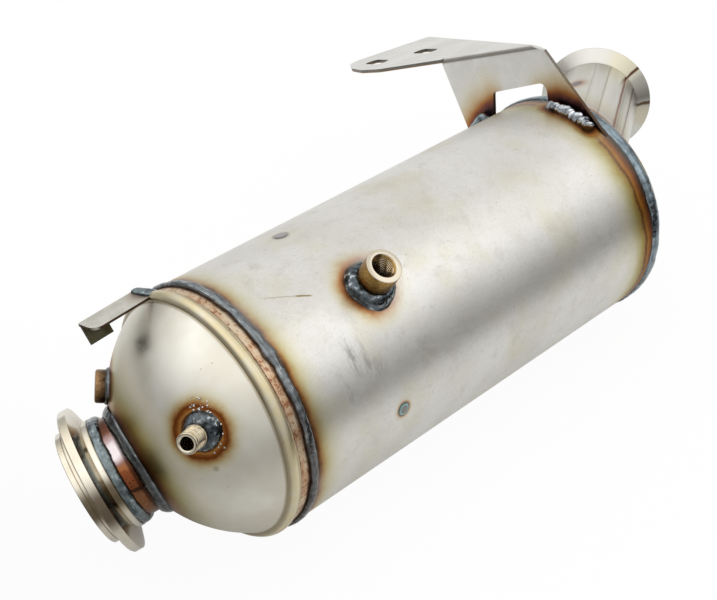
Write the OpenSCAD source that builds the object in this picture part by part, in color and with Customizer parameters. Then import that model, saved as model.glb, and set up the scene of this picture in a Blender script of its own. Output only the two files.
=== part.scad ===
// Diesel particulate filter: a welded stainless can with an oxidation catalyst and a wall flow
// filter inside, a tilted clamp flange at the inlet and a flared pipe at the outlet.
// Millimetres. X runs along the can from inlet to outlet, Z is up.
// The origin is the middle of the inlet flange's sealing face.

/* [Can] */
// Outside diameter of the shell
shell_od = 152; // [144:1:164]
// Length of the shell between its two end seams
shell_len = 305; // [285:1:340]
// Sheet thickness of the shell and both end cones
sheet = 1.5; // [1.2:0.1:2]
// Depth of each cone's skirt inside the shell
skirt = 8; // [5:0.5:10]
// Section radius of the seam beads at both ends of the shell
seam_r = 2.8; // [2.2:0.1:3.4]

/* [Inlet cone] */
// Crown radius of the inlet dome beyond the skirt radius
crown_extra = 6.3; // [5:0.1:9]
// Plain land between the shell seam and the dome
land = 9.6; // [8:0.2:12]
// Height of the rolled bead over the skirt
bead_rise = 1.7; // [1.2:0.1:2.2]
// Section radius of the rolled bead
bead_r = 4.5; // [3.5:0.1:5.5]

/* [Inlet neck and flange] */
// Outside diameter of the inlet neck and the outlet pipe
pipe_od = 61; // [57:0.5:65]
// Wall of the inlet neck and the outlet pipe
pipe_wall = 1.5; // [1.2:0.1:2]
// Tilt of the neck from the can's axis
inlet_tilt = 30.8; // [26:0.2:34]
// Clock angle of that tilt, from the top towards the far side
inlet_clock = 134.2; // [125:0.5:140]
// Sideways place of the neck's axis where it enters the dome
neck_side = 19; // [16:0.1:22]
// Drop of the neck's axis below the can's axis at the same place
neck_drop = 22.2; // [19:0.1:25]
// Length from the neck's seam on the dome to the flange's sealing face
neck_len = 25.9; // [24.6:0.1:32]
// Outside diameter of the clamp rim
flange_od = 88.9; // [86:0.1:94]
// Width of the clamp rim's edge
rim = 5.4; // [4.5:0.1:6.5]
// Depth of the clamp bevel behind the rim
bevel = 3.4; // [2.8:0.1:4]
// Wall of the hub over the neck
hub_wall = 3; // [2.5:0.1:4]
// Length of the hub behind the bevel
hub_len = 3.4; // [3:0.1:4.2]
// Length of the locating spigot ahead of the sealing face
spigot_len = 6.8; // [5:0.1:8]
// Wall of the spigot over the neck's bore
spigot_wall = 5.4; // [4.6:0.1:6]

/* [Outlet] */
// Crown radius of the outlet dish
dish_r = 118; // [110:1:130]
// Knuckle radius of the outlet dish
knuckle = 6; // [5:0.5:8]
// Plain land between the shell seam and the dish
dish_land = 3.5; // [3:0.1:5]
// Tilt of the outlet pipe from the can's axis
outlet_tilt = 31.3; // [27:0.1:33]
// Clock angle of that tilt, from the top towards the far side
outlet_clock = 101.3; // [95:0.5:107]
// Sideways place of the pipe's axis 20 mm beyond the shell
outlet_side = 5.1; // [2:0.1:9]
// Height of the pipe's axis over the can's axis at the same place
outlet_up = 33.3; // [28:0.1:35]
// Length of the pipe from there to its flared lip
outlet_len = 92.5; // [75:0.5:110]
// Outside diameter of the flared lip
flare_od = 79.3; // [76:0.1:86]
// Length of the flare along the pipe
flare_len = 6.8; // [6:0.1:9]

/* [Sensor bosses] */
// Place of the temperature boss from the inlet end of the shell
boss_x = 79.3; // [76:0.1:83]
// Clock angle of the temperature boss
boss_clock = -30.7; // [-45:0.5:-20]
// Height of the temperature boss over the shell
boss_h = 19; // [15:0.5:22]
// Outside diameter of the temperature boss
boss_od = 21; // [19:0.5:23]
// Outside diameter of the inlet boss
inlet_boss_od = 19; // [18:0.5:20]
// Bore of both bosses, the core of an M14 by 1.5 thread
boss_bore = 12.4; // [12:0.1:12.6]
// Clear gap on the dome between the inlet boss's weld and the neck's weld
inlet_boss_gap = 0.38; // [0.3:0.02:3]
// Turn of the inlet boss round the neck, from the top towards the far side
inlet_boss_turn = 36.65; // [32:0.05:40]
// Height of the inlet boss over the dome
inlet_boss_h = 7; // [6:0.5:10]

/* [Pressure nipple] */
// Polar angle of the nipple on the dome
nipple_polar = 36.5; // [34:0.5:40]
// Clock angle of the nipple on the dome
nipple_clock = -50.1; // [-60:0.5:-40]
// Outside diameter of the nipple's M12 thread
nipple_od = 12; // [11:0.1:13]
// Bore of the nipple
nipple_bore = 7.4; // [6:0.1:8]
// Height of the nipple over the dome
nipple_h = 18.9; // [15:0.1:22]

/* [Mounting bracket] */
// Clock angle of the bracket
bracket_clock = 25.5; // [20:0.5:30]
// Setback of the bracket's front face from the outlet end of the shell
bracket_back = 8; // [7:0.5:16]
// Height of the bracket's top face over the shell
bracket_rise = 37.1; // [32:0.1:45]
// Sheet thickness of the bracket
plate = 2.5; // [2:0.1:3]
// Reach of the arm past the bracket's middle
arm = 216; // [206:0.5:226]
// Depth of the arm's outer corner towards the outlet
arm_depth = 95; // [88:1:104]
// Width of the two fixing slots
slot_w = 10.5; // [9:0.1:11.5]
// Length of the two fixing slots
slot_l = 29.5; // [24:0.5:32]

/* [Cable clip] */
// Width of the clip's strip
clip_w = 14; // [13:0.5:16]
// Length of the clip's strip
clip_len = 42; // [40:0.5:48]
// Sheet thickness of the clip
clip_t = 1.5; // [1.2:0.1:2]
// Drop of the clip's folded tab
tab_drop = 13.5; // [10:0.5:15]

/* [Catalyst and filter] */
// Thickness of the swelling mats round both bricks
mat = 3.5; // [3:0.1:5]
// Start of the catalyst brick inside the shell
cat_start = 12; // [11:0.5:14]
// Length of the catalyst brick
cat_len = 52; // [48:0.5:53]
// Start of the filter brick inside the shell
filter_start = 95; // [93:0.5:100]
// Room left between the filter brick and the outlet end of the shell
filter_end = 15; // [12:0.5:30]
// Bare edge of each brick beyond its mat
mat_edge = 3; // [1:0.5:5]

/* [Hidden] */
$fn = 96;
shell_r = shell_od / 2;
skirt_r = shell_r - sheet;
crown_r = skirt_r + crown_extra;
crown_c = [sqrt(crown_r * crown_r - skirt_r * skirt_r) - land, 0, 0];
bead_x = -land - 1.4;
bead_crest = skirt_r + bead_rise;
pipe_r = pipe_od / 2;
bore_r = pipe_r - pipe_wall;
hub_r = pipe_r + hub_wall;
spigot_r = bore_r + spigot_wall;
socket = 6;
neck_dir = inward(inlet_tilt, inlet_clock);
neck_in = [-40, neck_side, -neck_drop];
neck_joint = joint(crown_c, crown_r, neck_in, neck_dir, pipe_r);
neck_back = neck_len;
inlet_face = neck_joint + neck_len * neck_dir;
neck_bead = 3.3;
neck_bead_at = [pipe_r + 0.8, sqrt(crown_r * crown_r - pipe_r * pipe_r) + 0.6];
neck_bead_lift = norm(neck_bead_at) - crown_r;
neck_edge = atan2(neck_bead_at[0], neck_bead_at[1])
    + arc(sqrt(neck_bead * neck_bead - neck_bead_lift * neck_bead_lift));
neck_n = (neck_joint - crown_c) / norm(neck_joint - crown_c);
neck_up = across([0, 0, 0], [0, 0, 1], neck_n) / norm(across([0, 0, 0], [0, 0, 1], neck_n));
dish_c = [shell_len + dish_land - sqrt(pow(dish_r - knuckle, 2) - pow(skirt_r - knuckle, 2)), 0, 0];
dish_pole = dish_c[0] + dish_r;
pipe_dir = outward(outlet_tilt, outlet_clock);
pipe_in = [shell_len + 20, outlet_side, outlet_up];
pipe_lip = pipe_in + outlet_len * pipe_dir;
pipe_joint = joint(dish_c, dish_r, pipe_in, pipe_dir, pipe_r);
pipe_back = (pipe_lip - pipe_joint) * pipe_dir;
boss_r = boss_od / 2;
side_r = inlet_boss_od / 2;
side_weld = 1.6;
side_away = neck_edge + asin((side_r + side_weld) / crown_r) + arc(inlet_boss_gap);
side_dir = cos(side_away) * neck_n + sin(side_away)
    * (cos(inlet_boss_turn) * neck_up + sin(inlet_boss_turn) * cross(neck_n, neck_up));
side_polar = acos(-side_dir[0]);
side_clock = atan2(side_dir[1], side_dir[2]);
nipple_r = nipple_od / 2;
nipple_foot = 7;
plate_x = shell_len - bracket_back;
bracket_top = shell_r + bracket_rise;
bend_out = plate + 1.5;
fold_w = bracket_top - bend_out;
fold_r = -27;
fold_l = 69;
arm_root = -22;
leg_in_r = -20;
leg_in_l = 33;
window_top = shell_r + 12;
leg_out_l = shell_r - 13.6;
leg_out_r = 17 - shell_r;
clip_root = [-13, 33.6];
clip_top = sqrt(bead_crest * bead_crest - clip_root[1] * clip_root[1]) + 1.1;
brick_r = skirt_r - mat;
ring_x = cat_start + cat_len;
ring_w = 8;
ring_t = 1.2;
spot_x = ring_x + 4;
spot_clocks = [17.8, -87.1, 167];
spot_r = 3.5;
filter_len = shell_len - filter_end - filter_start;
eps = 0.01;

// Unit vector leaning from the inlet end by a polar angle, towards a clock angle
function inward(p, c) = [-cos(p), sin(p) * sin(c), sin(p) * cos(c)];
// Unit vector leaning from the outlet end by a polar angle, towards a clock angle
function outward(p, c) = [cos(p), sin(p) * sin(c), sin(p) * cos(c)];
// Angle at the crown's centre of a length along the dome
function arc(length) = length / crown_r * 180 / PI;
// Middle of the seam where a tube through e along m meets a sphere
function across(s, e, m) = (e - s) - ((e - s) * m) * m;
function joint(s, r, e, m, tube) =
    s + across(s, e, m) + sqrt(r * r - tube * tube - pow(norm(across(s, e, m)), 2)) * m;

// Everything is drawn about the can's inlet end, then moved to the flange
module placed() { translate(-inlet_face) children(); }
module along_x(x = 0) { translate([x, 0, 0]) rotate([0, 90, 0]) children(); }
module clocked(c) { rotate([-c, 0, 0]) children(); }
module aim_in(p, c) { clocked(c) rotate([0, p - 90, 0]) children(); }
module aim_out(p, c) { clocked(c) rotate([0, 90 - p, 0]) children(); }
module at_inlet() { translate(inlet_face) aim_in(inlet_tilt, inlet_clock) children(); }
module at_outlet() { translate(pipe_lip) aim_out(outlet_tilt, outlet_clock) children(); }
module on_dome(p, c) { translate(crown_c) aim_in(p, c) translate([0, 0, crown_r]) children(); }
module on_shell(x, c) { clocked(c) translate([x, 0, shell_r]) children(); }
module aim_at(v) {
    u = v / norm(v);
    aim_in(acos(-u[0]), atan2(u[1], u[2])) children();
}
module crown_ball(r = crown_r) { translate(crown_c) sphere(r = r, $fn = 180); }
module dish_ball(r = dish_r) { translate(dish_c) sphere(r = r, $fn = 180); }
module shell_bar(r = shell_r, x0 = 0, x1 = shell_len) {
    along_x(x0) cylinder(r = r, h = x1 - x0, $fn = 180);
}
module ring(big, small) { rotate_extrude($fn = 120) translate([big, 0]) circle(r = small, $fn = 48); }

// Part of a bead lying on the shell between two clock angles
module arc_bead(x, big, small, c0, c1) {
    along_x(x) rotate([0, 0, 180 - c1]) rotate_extrude(angle = c1 - c0, $fn = 180)
        translate([big, 0]) circle(r = small, $fn = 40);
}

// Flat outline with rounded corners
function turn(a, b) = (a - b) / norm(a - b);
module corner_shape(p, r) {
    n = len(p);
    a = [for (i = [0 : n - 1]) turn(p[(i + n - 1) % n], p[i])];
    b = [for (i = [0 : n - 1]) turn(p[(i + 1) % n], p[i])];
    half = [for (i = [0 : n - 1]) acos(a[i] * b[i]) / 2];
    polygon([for (i = [0 : n - 1], k = [0, 1]) p[i] + (k == 0 ? a[i] : b[i]) * r[i] / tan(half[i])]);
    for (i = [0 : n - 1])
        translate(p[i] + (a[i] + b[i]) / norm(a[i] + b[i]) * r[i] / sin(half[i]))
            circle(r = r[i], $fn = 72);
}

// Filled outer form of the inlet dome with its rolled bead
module dome_solid(back = 0) {
    intersection() {
        crown_ball(crown_r - back);
        along_x(-land - 200) cylinder(r = 200, h = 200 + eps);
    }
    along_x(-land) cylinder(r = skirt_r - back, h = land + skirt, $fn = 180);
    along_x(bead_x) ring(bead_crest - bead_r, bead_r - back);
}

// Section of the filled outlet dish, half across and along the can.
// Crown and knuckle meet on the ray from the crown's centre through the knuckle's centre.
module dish_section(back = 0, start = 0) {
    k = [skirt_r - knuckle, shell_len + dish_land];
    far = k + 200 * (k - [0, dish_c[0]]) / (dish_r - knuckle);
    intersection() {
        translate([0, dish_c[0]]) circle(r = dish_r - back, $fn = 180);
        polygon([[0, k[1]], k, far, [0, far[1]]]);
    }
    intersection() {
        translate(k) circle(r = knuckle - back, $fn = 72);
        polygon([k, [far[0], k[1]], far]);
    }
    translate([0, shell_len - skirt - start]) square([skirt_r - back, skirt + dish_land + start]);
}
module dish_solid() along_x() rotate_extrude($fn = 180) dish_section();

module inlet_flange() color("#9a8a6a") at_inlet() difference() {
    foot = -rim - bevel;
    rotate_extrude($fn = 180) polygon([
        [bore_r, foot - hub_len], [hub_r, foot - hub_len], [hub_r, foot], [flange_od / 2, -rim],
        [flange_od / 2, -0.8], [flange_od / 2 - 0.8, 0], [spigot_r, 0], [spigot_r, spigot_len - 0.4],
        [spigot_r - 0.4, spigot_len], [bore_r, spigot_len]]);
    translate([0, 0, foot - hub_len - 1]) cylinder(r = pipe_r, h = socket + 1, $fn = 180);
}

module flange_weld() color("#5a5e62") at_inlet() difference() {
    translate([0, 0, -rim - bevel - hub_len - 1.2]) ring(pipe_r + 0.7, 2.8);
    translate([0, 0, -rim - bevel - hub_len]) cylinder(r = 60, h = 20);
    translate([0, 0, -50]) cylinder(r = pipe_r, h = 60, $fn = 180);
}

module inlet_neck() color("#9b6a56") difference() {
    at_inlet() translate([0, 0, -neck_back - 30]) difference() {
        cylinder(r = pipe_r, h = neck_back + 30 - rim - bevel - hub_len + socket, $fn = 180);
        translate([0, 0, -1]) cylinder(r = bore_r, h = neck_back + 60, $fn = 180);
    }
    crown_ball();
}

module neck_weld() color("#4a4f54") difference() {
    translate(neck_joint) aim_at(neck_joint - crown_c) translate([0, 0, 0.6])
        ring(neck_bead_at[0], neck_bead);
    crown_ball();
    at_inlet() translate([0, 0, -90]) cylinder(r = pipe_r, h = 100, $fn = 180);
}

module inlet_cone() color("#c9c6bc") difference() {
    dome_solid();
    dome_solid(sheet);
    along_x(skirt - 1) cylinder(r = skirt_r - sheet, h = 2, $fn = 180);
    at_inlet() translate([0, 0, -90]) cylinder(r = bore_r, h = 100, $fn = 180);
    on_dome(nipple_polar, nipple_clock) translate([0, 0, -8])
        cylinder(r = nipple_bore / 2, h = 16, $fn = 48);
    on_dome(side_polar, side_clock) translate([0, 0, -8])
        cylinder(r = boss_bore / 2, h = 16, $fn = 64);
}

module inlet_seam_weld() color("#565b60") difference() {
    along_x(-0.8) ring(skirt_r + 0.7, seam_r);
    shell_bar(shell_r, 0, 20);
    shell_bar(skirt_r, -20, 1);
}

module shell() color("#d2d1cc") difference() {
    shell_bar();
    shell_bar(skirt_r, -1, shell_len + 1);
    on_shell(boss_x, boss_clock) translate([0, 0, -8]) cylinder(r = boss_bore / 2, h = 16, $fn = 64);
    for (c = spot_clocks) on_shell(spot_x, c) translate([0, 0, -6]) cylinder(r = spot_r, h = 12, $fn = 48);
}

module outlet_seam_weld() color("#565b60") difference() {
    along_x(shell_len + 0.4) ring(shell_r - 1.6, seam_r - 0.3);
    shell_bar(shell_r, shell_len - 20, shell_len);
    dish_solid();
}

module outlet_cone() color("#c4c2ba") difference() {
    along_x() rotate_extrude($fn = 180) difference() {
        dish_section();
        dish_section(sheet, 1);
    }
    at_outlet() translate([0, 0, -pipe_back - 60]) cylinder(r = bore_r, h = pipe_back + 70, $fn = 180);
}

// Collar of weld in the corner between the pipe and the dish
module outlet_pipe_weld() color("#565b60") difference() {
    intersection() {
        at_outlet() translate([0, 0, -pipe_back - 40])
            cylinder(r = pipe_r + 3, h = pipe_back + 30, $fn = 180);
        dish_ball(dish_r + 3);
        along_x(shell_len) cylinder(r = 100, h = 100);
    }
    dish_ball();
    at_outlet() translate([0, 0, -pipe_back - 60]) cylinder(r = pipe_r, h = pipe_back + 70, $fn = 180);
}

module outlet_pipe() color("#b9b8b1") difference() {
    at_outlet() {
        start = -pipe_back - 40;
        rotate_extrude($fn = 180) polygon([
            [bore_r, start], [pipe_r, start], [pipe_r, -flare_len], [flare_od / 2, -0.7],
            [flare_od / 2, 0], [flare_od / 2 - 1.6, 0], [bore_r, -flare_len + 0.6]]);
    }
    dish_ball();
}

// Bracket in its own axes: X along the can, Y across the bracket, Z out from the can
module bracket_outline() corner_shape(
    [[plate_x, arm_root], [plate_x, arm - 79.4], [plate_x + 6.1, arm - 52.3], [plate_x + 18, arm - 27.2],
     [plate_x + 39.4, arm], [plate_x + arm_depth, arm - 37.2]],
    [2, 28, 28, 28, 12, 6]);
module bracket_slot(x, y) translate([plate_x + x, y]) rotate(-19) {
    square([slot_w, slot_l - slot_w], center = true);
    for (s = [-1, 1]) translate([0, s * (slot_l - slot_w) / 2]) circle(d = slot_w, $fn = 48);
}
// Quarter bend between leg and arm, cut off towards the arm's outer edge
module bracket_bend() difference() {
    translate([plate_x + bend_out, fold_l, fold_w]) rotate([90, 0, 0])
        linear_extrude(fold_l - fold_r) difference() {
            intersection() { circle(r = bend_out, $fn = 96); translate([-20, 0]) square([20, 20]); }
            circle(r = bend_out - plate, $fn = 96);
        }
    translate([plate_x - 1, 0, 0]) rotate([90, 0, 90]) linear_extrude(bend_out + 2) polygon([
        [fold_r - 2, fold_w - 0.6], [fold_r + 13, bracket_top], [fold_r + 13, bracket_top + 2],
        [fold_r - 2, bracket_top + 2]]);
}
module mounting_bracket() color("#cfcec8") difference() {
    clocked(bracket_clock) {
        translate([0, 0, bracket_top - plate]) linear_extrude(plate) difference() {
            bracket_outline();
            translate([plate_x - 1, fold_r - 10]) square([bend_out + 1, fold_l - fold_r + 10]);
            bracket_slot(27.3, 168.5);
            bracket_slot(39.1, 125.3);
        }
        bracket_bend();
        translate([plate_x, 0, 0]) rotate([90, 0, 90]) linear_extrude(plate) difference() {
            polygon([[fold_r, fold_w], [fold_l, fold_w], [leg_out_l, shell_r - 12],
                     [leg_out_l - 3.4, shell_r - 36], [leg_out_r - 5.2, shell_r - 38],
                     [leg_out_r, shell_r - 28]]);
            corner_shape([[leg_in_r + 4, shell_r - 16], [leg_in_l + 4, shell_r - 16],
                          [leg_in_l - 4.8, window_top - 2.6], [leg_in_r - 1.3, window_top]],
                         [0.1, 0.1, 3, 5]);
        }
    }
    shell_bar(shell_r, shell_len - 60, shell_len + 60);
}

module bracket_bead(back, rise, small, u0, u1) difference() {
    arc_bead(plate_x - back, shell_r + rise, small, bracket_clock + asin(u0 / shell_r),
             bracket_clock + asin(u1 / shell_r));
    shell_bar(shell_r, shell_len - 60, shell_len + 60);
    clocked(bracket_clock) translate([plate_x, -100, 0]) cube([40, 200, 200]);
}
module bracket_weld_near() color("#b4b8bc") bracket_bead(4.6, 0.6, 5.4, leg_out_r + 7, leg_in_r - 3.5);
module bracket_weld_far() color("#4a4f54") bracket_bead(2.5, 1.5, 7, leg_in_l + 2.2, leg_out_l - 10);

module threaded_boss(r, h) difference() {
    translate([0, 0, -12]) cylinder(r = r, h = h + 12, $fn = 96);
    translate([0, 0, -13]) cylinder(r = boss_bore / 2, h = h + 20, $fn = 64);
    translate([0, 0, h - 1.1]) cylinder(r1 = boss_bore / 2, r2 = boss_bore / 2 + 1.4, h = 1.4, $fn = 64);
}
module temperature_boss() color("#a2937a") difference() {
    on_shell(boss_x, boss_clock) threaded_boss(boss_r, boss_h);
    shell_bar();
}
module temperature_boss_weld() color("#44494e") difference() {
    on_shell(boss_x, boss_clock) translate([0, 0, -3])
        cylinder(r1 = boss_r + 7, r2 = boss_r + 0.6, h = 8.5, $fn = 96);
    on_shell(boss_x, boss_clock) translate([0, 0, -10]) cylinder(r = boss_r, h = 40, $fn = 96);
    shell_bar();
}
module inlet_boss() color("#7d6a52") difference() {
    on_dome(side_polar, side_clock) threaded_boss(side_r, inlet_boss_h);
    crown_ball();
}
module inlet_boss_weld() color("#3f4448") difference() {
    on_dome(side_polar, side_clock)
        translate([0, 0, -2.5]) cylinder(r1 = side_r + 2.4, r2 = side_r + 0.3, h = 4.4, $fn = 96);
    on_dome(side_polar, side_clock) translate([0, 0, -10]) cylinder(r = side_r, h = 40, $fn = 96);
    crown_ball();
}

module pressure_nipple() color("#b59a6a") difference() {
    on_dome(nipple_polar, nipple_clock) difference() {
        rotate_extrude($fn = 72) polygon([
            [nipple_bore / 2, -8], [nipple_r + 0.5, -8], [nipple_r + 0.5, nipple_foot],
            [nipple_r, nipple_foot], [nipple_r, nipple_h - 0.9],
            [nipple_r - 0.9, nipple_h], [nipple_bore / 2, nipple_h]]);
    }
    crown_ball();
}
module nipple_weld() color("#5c6064") difference() {
    on_dome(nipple_polar, nipple_clock) translate([0, 0, -2])
        cylinder(r1 = nipple_r + 6.4, r2 = nipple_r + 1, h = 7, $fn = 96);
    on_dome(nipple_polar, nipple_clock) translate([0, 0, -10])
        cylinder(r = nipple_r + 0.5, h = 40, $fn = 72);
    crown_ball();
}

// Clip in its own axes: a strip along the can with a tab folded under its far edge
module clip_frame() clocked(10) translate([clip_root[0], clip_root[1], clip_top]) rotate([0, 0, 6.5])
    children();
module cable_clip() color("#bdbbb3") difference() {
    clip_frame() {
        translate([0, 0, -clip_t]) linear_extrude(clip_t) corner_shape(
            [[0.5, -clip_w / 2], [0.5, clip_w / 2], [-clip_len, clip_w / 2], [-clip_len, -clip_w / 2]],
            [0.5, 0.5, 1, 6]);
        translate([-clip_len, clip_w / 2, 0]) rotate([-30, 0, 0]) translate([0.4, -clip_t, -tab_drop])
            cube([15.5, clip_t, tab_drop - 0.9]);
    }
    dome_solid();
    shell_bar(shell_r + seam_r, -5, 30);
}
module clip_weld() color("#7b8084") difference() {
    clip_frame() translate([-1, 7, 0]) rotate([90, 0, 0]) cylinder(r = 2.9, h = 14, $fn = 48);
    clip_frame() translate([-20, -20, -20]) cube([40, 40, 20]);
    dome_solid();
}

module plug_welds() color("#85858a") {
    for (c = spot_clocks) intersection() {
        on_shell(spot_x, c) translate([0, 0, -6]) cylinder(r = spot_r, h = 12, $fn = 48);
        difference() {
            shell_bar(shell_r + 0.4, spot_x - 10, spot_x + 10);
            shell_bar(skirt_r, spot_x - 11, spot_x + 11);
        }
    }
}

module retaining_ring() color("#a9a7a0") along_x(ring_x) difference() {
    cylinder(r = skirt_r, h = ring_w, $fn = 180);
    translate([0, 0, ring_t]) cylinder(r = skirt_r - ring_t, h = ring_w, $fn = 180);
    translate([0, 0, -1]) cylinder(r = brick_r - 5, h = ring_w + 2, $fn = 180);
}

module brick_mat(x, l) along_x(x + mat_edge) difference() {
    cylinder(r = skirt_r, h = l - 2 * mat_edge, $fn = 180);
    translate([0, 0, -1]) cylinder(r = brick_r, h = l + 2, $fn = 180);
}
module catalyst_mat() color("#d8d3c4") brick_mat(cat_start, cat_len);
module catalyst_brick() color("#a08c6c") along_x(cat_start)
    cylinder(r = brick_r, h = cat_len, $fn = 180);
module filter_mat() color("#d8d3c4") brick_mat(filter_start, filter_len);
module filter_brick() color("#5b5d5f") along_x(filter_start)
    cylinder(r = brick_r, h = filter_len, $fn = 180);

placed() inlet_flange();
placed() flange_weld();
placed() inlet_neck();
placed() neck_weld();
placed() inlet_cone();
placed() inlet_seam_weld();
placed() shell();
placed() outlet_seam_weld();
placed() outlet_cone();
placed() outlet_pipe_weld();
placed() outlet_pipe();
placed() mounting_bracket();
placed() bracket_weld_near();
placed() bracket_weld_far();
placed() temperature_boss();
placed() temperature_boss_weld();
placed() inlet_boss();
placed() inlet_boss_weld();
placed() pressure_nipple();
placed() nipple_weld();
placed() cable_clip();
placed() clip_weld();
placed() plug_welds();
placed() retaining_ring();
placed() catalyst_mat();
placed() catalyst_brick();
placed() filter_mat();
placed() filter_brick();
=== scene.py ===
import random
from math import copysign, cos, degrees, exp, pi, radians, sin, sqrt

import bmesh
import bpy
from mathutils import Matrix, Vector, noise


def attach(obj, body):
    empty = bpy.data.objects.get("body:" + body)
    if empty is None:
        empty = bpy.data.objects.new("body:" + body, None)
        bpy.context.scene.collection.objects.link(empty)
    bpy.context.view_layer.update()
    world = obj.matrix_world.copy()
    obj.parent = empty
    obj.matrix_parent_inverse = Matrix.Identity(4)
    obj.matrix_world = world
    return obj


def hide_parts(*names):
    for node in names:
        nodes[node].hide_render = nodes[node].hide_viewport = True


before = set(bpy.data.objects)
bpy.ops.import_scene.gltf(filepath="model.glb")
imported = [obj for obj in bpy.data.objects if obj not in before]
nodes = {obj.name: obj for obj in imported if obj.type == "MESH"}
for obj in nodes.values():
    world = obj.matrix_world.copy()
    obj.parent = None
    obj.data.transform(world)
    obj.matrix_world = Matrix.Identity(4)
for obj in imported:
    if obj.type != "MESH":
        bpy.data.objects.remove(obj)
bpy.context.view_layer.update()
print("frame loaded:", len(nodes), "nodes")

# The can's own frame is in millimetres from its inlet end, X along the can.
canPlace = Vector((67.920, -30.932, 33.803))
axisX = Vector((1, 0, 0))
shellR, pipeR = 76.0, 30.5
inletSeam, outletSeam = 0.5, 304.6  # middles of the two seam welds
crownMid, crownR = Vector((21.680, 0, 0)), 80.8  # ball of the inlet dome
dishMid, dishR = Vector((219.937, 0, 0)), 118.0  # ball of the dished outlet end
neckDir, neckLong = Vector((-0.85896, 0.36709, -0.35698)), 25.9
neckJoint = Vector((-45.673, 21.424, -24.558))
flangeFace = neckJoint + neckLong * neckDir
pipeDir = Vector((0.85446, 0.50945, -0.10180))
pipeLip = Vector((404.036, 52.224, 23.884))


# from the can's frame to the part's, in metres
def row(p):
    return (Vector(p) + canPlace) / 1000


# Direction from the can's axis at a clock angle, 0 at the top.
def clocked(angle):
    a = radians(angle)
    return Vector((0, sin(a), cos(a)))


def inward(polar, clock):
    p = radians(polar)
    return Vector((-cos(p), 0, 0)) + sin(p) * clocked(clock)


# Two directions square to an axis, the first as near to up as it can be.
def sides(axis):
    a = axis.normalized()
    one = (Vector((0, 0, 1)) - a.z * a) if abs(a.z) < 0.9 else (axisX - a.x * a)
    one.normalize()
    return one, a.cross(one)


bossX, bossDir = 79.3, clocked(-30.7)
bossFoot = bossX * axisX + shellR * bossDir
nippleDir = inward(36.5, -50.1)
sideDir = Vector((-0.79333, 0.59318, 0.13697))
nippleFoot, sideFoot = crownMid + crownR * nippleDir, crownMid + crownR * sideDir
plugPlaces = [(68.0, 17.8, "palePlug"), (68.0, -87.1, "plug"), (68.0, 167.0, "plug")]  # place, clock, heat
bracketClock = 25.5
bracketTurn = radians(bracketClock)
clipClock, clipTurn = 10, radians(6.5)
clipAcross, clipUp = clocked(clipClock + 90), clocked(clipClock)
clipRoot = -13 * axisX + 33.6 * clipAcross + 69.49 * clipUp
clipAlong = axisX * cos(clipTurn) + clipAcross * sin(clipTurn)
clipWide = clipAcross * cos(clipTurn) - axisX * sin(clipTurn)


def spaced(low, high, count):
    return [low + (high - low) * i / (count - 1) for i in range(count)]


def linear(text):
    out = []
    for k in (1, 3, 5):
        c = int(text[k:k + 2], 16) / 255
        out.append(c / 12.92 if c < 0.04045 else ((c + 0.055) / 1.055) ** 2.4)
    return (*out, 1.0)


# One socket of a node tree, with sums written as sums.
class Wire:
    def __init__(self, tree, socket=None):
        self.tree, self.socket = tree, socket

    def make(self, kind, settings=None, sockets=None, out=0):
        node = self.tree.nodes.new(kind)
        for key, value in (settings or {}).items():
            if key == "stops":
                ramp = node.color_ramp
                while len(ramp.elements) < len(value):
                    ramp.elements.new(1.0)
                for element, (place, colour) in zip(ramp.elements, value):
                    element.position, element.color = place, colour
            else:
                setattr(node, key, value)
        for key, value in (sockets or {}).items():
            if isinstance(value, Wire):
                self.tree.links.new(value.socket, node.inputs[key])
            else:
                node.inputs[key].default_value = value
        return Wire(self.tree, node.outputs[out]) if node.outputs else Wire(self.tree)

    def also(self, out):
        return Wire(self.tree, self.socket.node.outputs[out])

    def maths(self, how, *values):
        return self.make("ShaderNodeMath", {"operation": how}, dict(enumerate((self,) + values)))

    def vector(self, how, *values, out=0):
        return self.make("ShaderNodeVectorMath", {"operation": how}, dict(enumerate((self,) + values)), out)

    def __add__(self, other):
        return self.maths("ADD", other)

    def __sub__(self, other):
        return self.maths("SUBTRACT", other)

    def __rsub__(self, other):
        return self.make("ShaderNodeMath", {"operation": "SUBTRACT"}, {0: other, 1: self})

    def __mul__(self, other):
        return self.maths("MULTIPLY", other)

    def __truediv__(self, other):
        return self.maths("DIVIDE", other)

    __radd__, __rmul__ = __add__, __mul__

    def size(self):
        return self.maths("ABSOLUTE")

    def root(self):
        return self.maths("SQRT")

    def hypot(self, other):
        return (self * self + other * other).root()

    def parts(self):
        x = self.make("ShaderNodeSeparateXYZ", None, {0: self})
        return x, x.also(1), x.also(2)

    def step(self, low, high):
        return self.make("ShaderNodeMapRange", {"interpolation_type": "SMOOTHSTEP"},
                         {"Value": self, "From Min": low, "From Max": high, "To Min": 0.0, "To Max": 1.0})

    def drop(self, low, high):
        return 1 - self.step(low, high)

    # 1 inside a half-width round a place, fading to 0 over the rest
    def near(self, place, inner, outer):
        return (self - place).size().drop(inner, outer)

    def noise(self, scale, detail=3.0, rough=0.55, stretch=None):
        at = self.vector("MULTIPLY", stretch) if stretch else self
        return at.make("ShaderNodeTexNoise", None, {"Vector": at, "Scale": scale, "Detail": detail,
                                                    "Roughness": rough})

    def specks(self, scale, inner, outer):
        cells = self.make("ShaderNodeTexVoronoi", {"feature": "F1"},
                          {"Vector": self, "Scale": scale, "Randomness": 1.0})
        return cells.drop(inner, outer)

    def between(self, low, high):
        return self.make("ShaderNodeMix", {"data_type": "RGBA"}, {0: self, 6: low, 7: high}, out=2)

    def blend(self, other, factor):
        return factor.between(self, other)


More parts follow.
